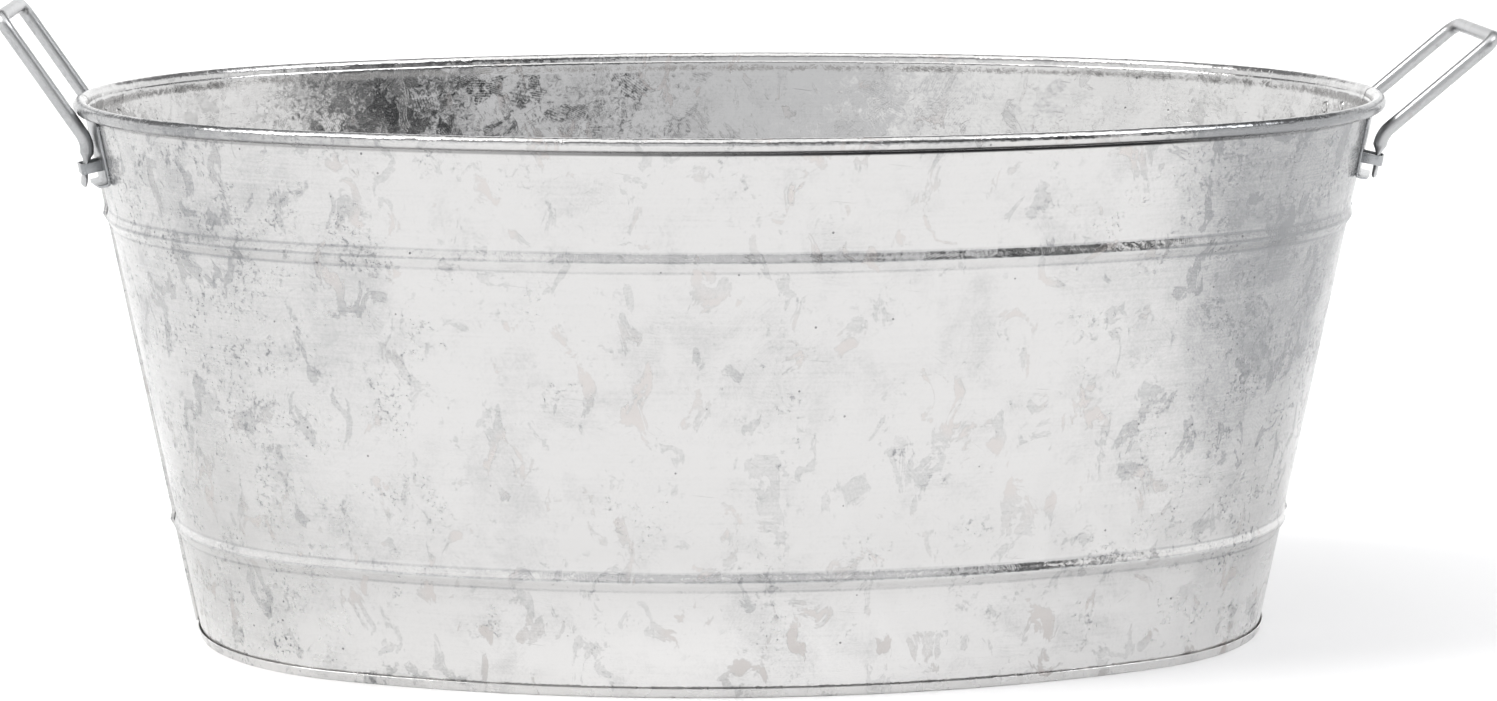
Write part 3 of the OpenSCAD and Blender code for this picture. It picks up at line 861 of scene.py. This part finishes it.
def flatten(bm, edges, across, thick, before):
    """Scales a ring to a width across the foot and a thickness, from what it was before."""
    centre = sum((v.co for v in end_verts(edges)), Vector()) / len(end_verts(edges))
    space = Matrix.Rotation(-leg_turn, 4, "Z") @ Matrix.Translation(-centre)
    factor = (thick / before[1], across / before[0], 1)
    bmesh.ops.scale(bm, verts=end_verts(edges), vec=factor, space=space)
    return across, thick


def leg_and_corner(bm, ring):
    """From the neck: the bend, the leg, the corner and half of the grip."""
    spot = Vector((0, leg_y, neck_high))
    edges = bend(bm, ring, spot + Vector((leg_bend_radius, 0, 0)), (0, 1, 0), leg_bend, 10)
    way = Vector((math.sin(leg_bend), 0, math.cos(leg_bend)))
    tangent = leg_bend_radius * math.tan(leg_bend / 2)
    spot = Vector((0, leg_y, foot_above)) + way * tangent
    straight = leg_length - tangent - grip_corner_radius
    for _ in range(6):
        edges = grow(bm, edges, way * straight / 6)
        spot += way * straight / 6
    inward = Vector((0, -1, 0))
    edges = bend(bm, edges, spot + inward * grip_corner_radius, way.cross(inward), math.pi / 2, 12)
    for _ in range(3):
        edges = grow(bm, edges, inward * (leg_y - grip_corner_radius) / 3)


def foot(bm, ring):
    """From the neck down: hammered flat through the bridge, spread at its tail."""
    stages = [
        (neck_high - 0.8, 6.5, 5.7), (neck_high - 1.7, 7.3, 4.5), (neck_low + 0.35, 8.6, 3.0),
        (neck_low, foot_width, foot_thick), (0, foot_width, foot_thick), (-3.2, foot_width, foot_thick),
        (-4.0, 10.6, foot_thick), (-5.0, tail_width, foot_thick), (-7.2, tail_width, foot_thick * 0.96),
        (-8.0, 11.4, foot_thick * 0.8), (-foot_below, 10.2, foot_thick * 0.45),
    ]
    shape = (2 * rod_radius, 2 * rod_radius)
    edges, z = ring, neck_high
    for low, across, thick in stages:
        edges = grow(bm, edges, Vector((0, 0, low - z)))
        shape = flatten(bm, edges, across, thick, shape)
        z = low
    bmesh.ops.contextual_create(bm, geom=edges)


def handle(name, side, lean, node):
    bm = bmesh.new()
    start = Matrix.Translation(Vector((0, leg_y, neck_high)) * MM)
    made = bmesh.ops.create_circle(bm, cap_ends=False, radius=rod_radius * MM, segments=32, matrix=start)
    ring = list({e for v in made["verts"] for e in v.link_edges})
    leg_and_corner(bm, ring)
    foot(bm, ring)
    bmesh.ops.mirror(bm, geom=bm.verts[:] + bm.edges[:] + bm.faces[:], merge_dist=0.01 * MM, axis="Y")
    turn = Matrix.Rotation(lean - leg_bend, 4, "Y")
    place = Matrix.Translation(Vector((pivot_x, 0, pivot_z)) * MM) @ turn
    if side < 0:
        place = Matrix.Rotation(math.pi, 4, "Z") @ place
    bmesh.ops.transform(bm, matrix=place, verts=bm.verts)
    outward_normals(bm)
    print(name, "open edges", sum(e.is_boundary for e in bm.edges))
    return finish_piece(bm, name, node, rod_zinc, node)


handle("left_rod_handle", -1, lean_in, "left_handle")
handle("right_rod_handle", 1, lean_out, "right_handle")


# %% [markdown]
# ## Rim wires
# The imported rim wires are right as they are. They show only from below, in the slit that the
# rolled edge leaves, so they keep their shape and get a darker drawn-steel finish.


# %% Drawn steel wire
def wire_finish():
    finish = bpy.data.materials.new("drawn_steel")
    finish.use_nodes = True
    tree = finish.node_tree
    skin = next(n for n in tree.nodes if n.type == "BSDF_PRINCIPLED")
    place = make_node(tree, "ShaderNodeTexCoord", None, "Object")
    grime = cloud(place, 120.0, 4.0, 0.6)
    body = mix_colour(grime.over(0.4, 0.65), (0.42, 0.42, 0.43, 1), (0.20, 0.18, 0.17, 1))
    tree.links.new(body.socket, skin.inputs["Base Color"])
    rough = 0.38 + grime * 0.25
    tree.links.new(rough.socket, skin.inputs["Roughness"])
    skin.inputs["Metallic"].default_value = 1.0
    return finish


drawn_steel = wire_finish()
for wire in ("front_rim_wire", "rear_rim_wire"):
    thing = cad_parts[wire]
    for place in thing.material_slots:
        place.material = drawn_steel
    print(wire, "slots", len(thing.material_slots))

# %% [markdown]
# ## Floor, light and camera
# A galvanized wall mirrors what stands round it, so the light is half of its look. The
# leaning wall mirrors the pale floor in front of it, and comes out almost white. The ribs and
# the far inner wall mirror the dim room behind the camera, and come out dark; along the ribs,
# thin dark lines are painted into the wall's colour as well. So the sky is brighter behind
# and above, with one dim patch low down behind the camera, and its key light comes from the
# left, which leaves the right-hand end a cooler grey; that end is also painted darker.


# %% Floor
def floor_finish():
    finish = bpy.data.materials.new("floor_white")
    finish.use_nodes = True
    tree = finish.node_tree
    skin = next(n for n in tree.nodes if n.type == "BSDF_PRINCIPLED")
    place = make_node(tree, "ShaderNodeTexCoord", None, "Object")
    soft = cloud(place, 3.0, 2.0)
    colour = mix_colour(soft, (0.93, 0.93, 0.93, 1), (0.95, 0.95, 0.95, 1))
    tree.links.new(colour.socket, skin.inputs["Base Color"])
    skin.inputs["Roughness"].default_value = 0.9
    skin.inputs["Specular IOR Level"].default_value = 0.1
    return finish


bm = bmesh.new()
bmesh.ops.create_grid(bm, x_segments=8, y_segments=8, size=12)
floor_mesh = bpy.data.meshes.new("floor")
bm.to_mesh(floor_mesh)
bm.free()
floor = bpy.data.objects.new("floor", floor_mesh)
bpy.context.scene.collection.objects.link(floor)
floor_mesh.materials.append(floor_finish())


# %% Sky
def studio_sky():
    world = bpy.data.worlds.new("studio")
    bpy.context.scene.world = world
    world.use_nodes = True
    tree = world.node_tree
    tree.nodes.clear()
    way = make_node(tree, "ShaderNodeTexCoord", None, "Generated")
    x, y, z = way.parts()
    round_way = x.sum("ARCTAN2", y * -1.0)
    keys = []
    for turn, rise in ((-76, 50), (76, 52)):
        turn, rise = math.radians(turn), math.radians(rise)
        aim = (math.sin(turn) * math.cos(rise), -math.cos(turn) * math.cos(rise), math.sin(rise))
        keys.append(way.vector("DOT_PRODUCT", aim, out="Value").over(0.960, 0.985))
    level = mix_colour(y.over(0.35, 0.75), (1.35, 1.35, 1.35, 1), (1.53, 1.53, 1.53, 1))
    ring = mix_colour(z.over(0.38, 0.50), level, (0.22, 0.22, 0.225, 1))
    above = mix_colour(z.over(0.82, 0.90), ring, (1.7, 1.7, 1.7, 1))
    lit = mix_colour(keys[0], above, (10.8, 10.7, 10.6, 1))
    lit = mix_colour(keys[1], lit, (6.8, 6.8, 6.9, 1))
    low = z.under(0.30, 0.42)
    left_edge = round_way.over(-0.40, -0.26) * low + round_way.over(-0.85, -0.55) * (1 - low)
    dim = left_edge * round_way.under(0.87, 0.93) * z.over(-0.03, 0.02) * z.under(0.56, 0.68)
    deep = (round_way.over(0.50, 0.70) + z.over(0.27, 0.38) * round_way.over(0.0, 0.35)).sum("MINIMUM", 1.0)
    dark = mix_colour(deep, (0.93, 0.938, 0.952, 1), (0.05, 0.052, 0.055, 1))
    sky = mix_colour(dim, lit, dark)
    back = way.node("ShaderNodeBackground", None, Color=sky, Strength=1.0)
    out = tree.nodes.new("ShaderNodeOutputWorld")
    tree.links.new(back.socket, out.inputs["Surface"])


studio_sky()

# %% Camera
eye = Vector((-102.5, -1962.9, 450.3)) * MM
look_turn = math.atan2(0.056, 0.998)
look_down = math.radians(9.22)
look = Vector((math.sin(look_turn), math.cos(look_turn), -math.tan(look_down)))
lens = bpy.data.cameras.new("camera")
lens.sensor_fit = "HORIZONTAL"
lens.sensor_width = 36
lens.lens = 101.5
camera = bpy.data.objects.new("camera", lens)
camera.location = eye
camera.rotation_euler = look.to_track_quat("-Z", "Y").to_euler()
bpy.context.scene.collection.objects.link(camera)
bpy.context.scene.camera = camera
bpy.context.scene.view_settings.view_transform = "Standard"
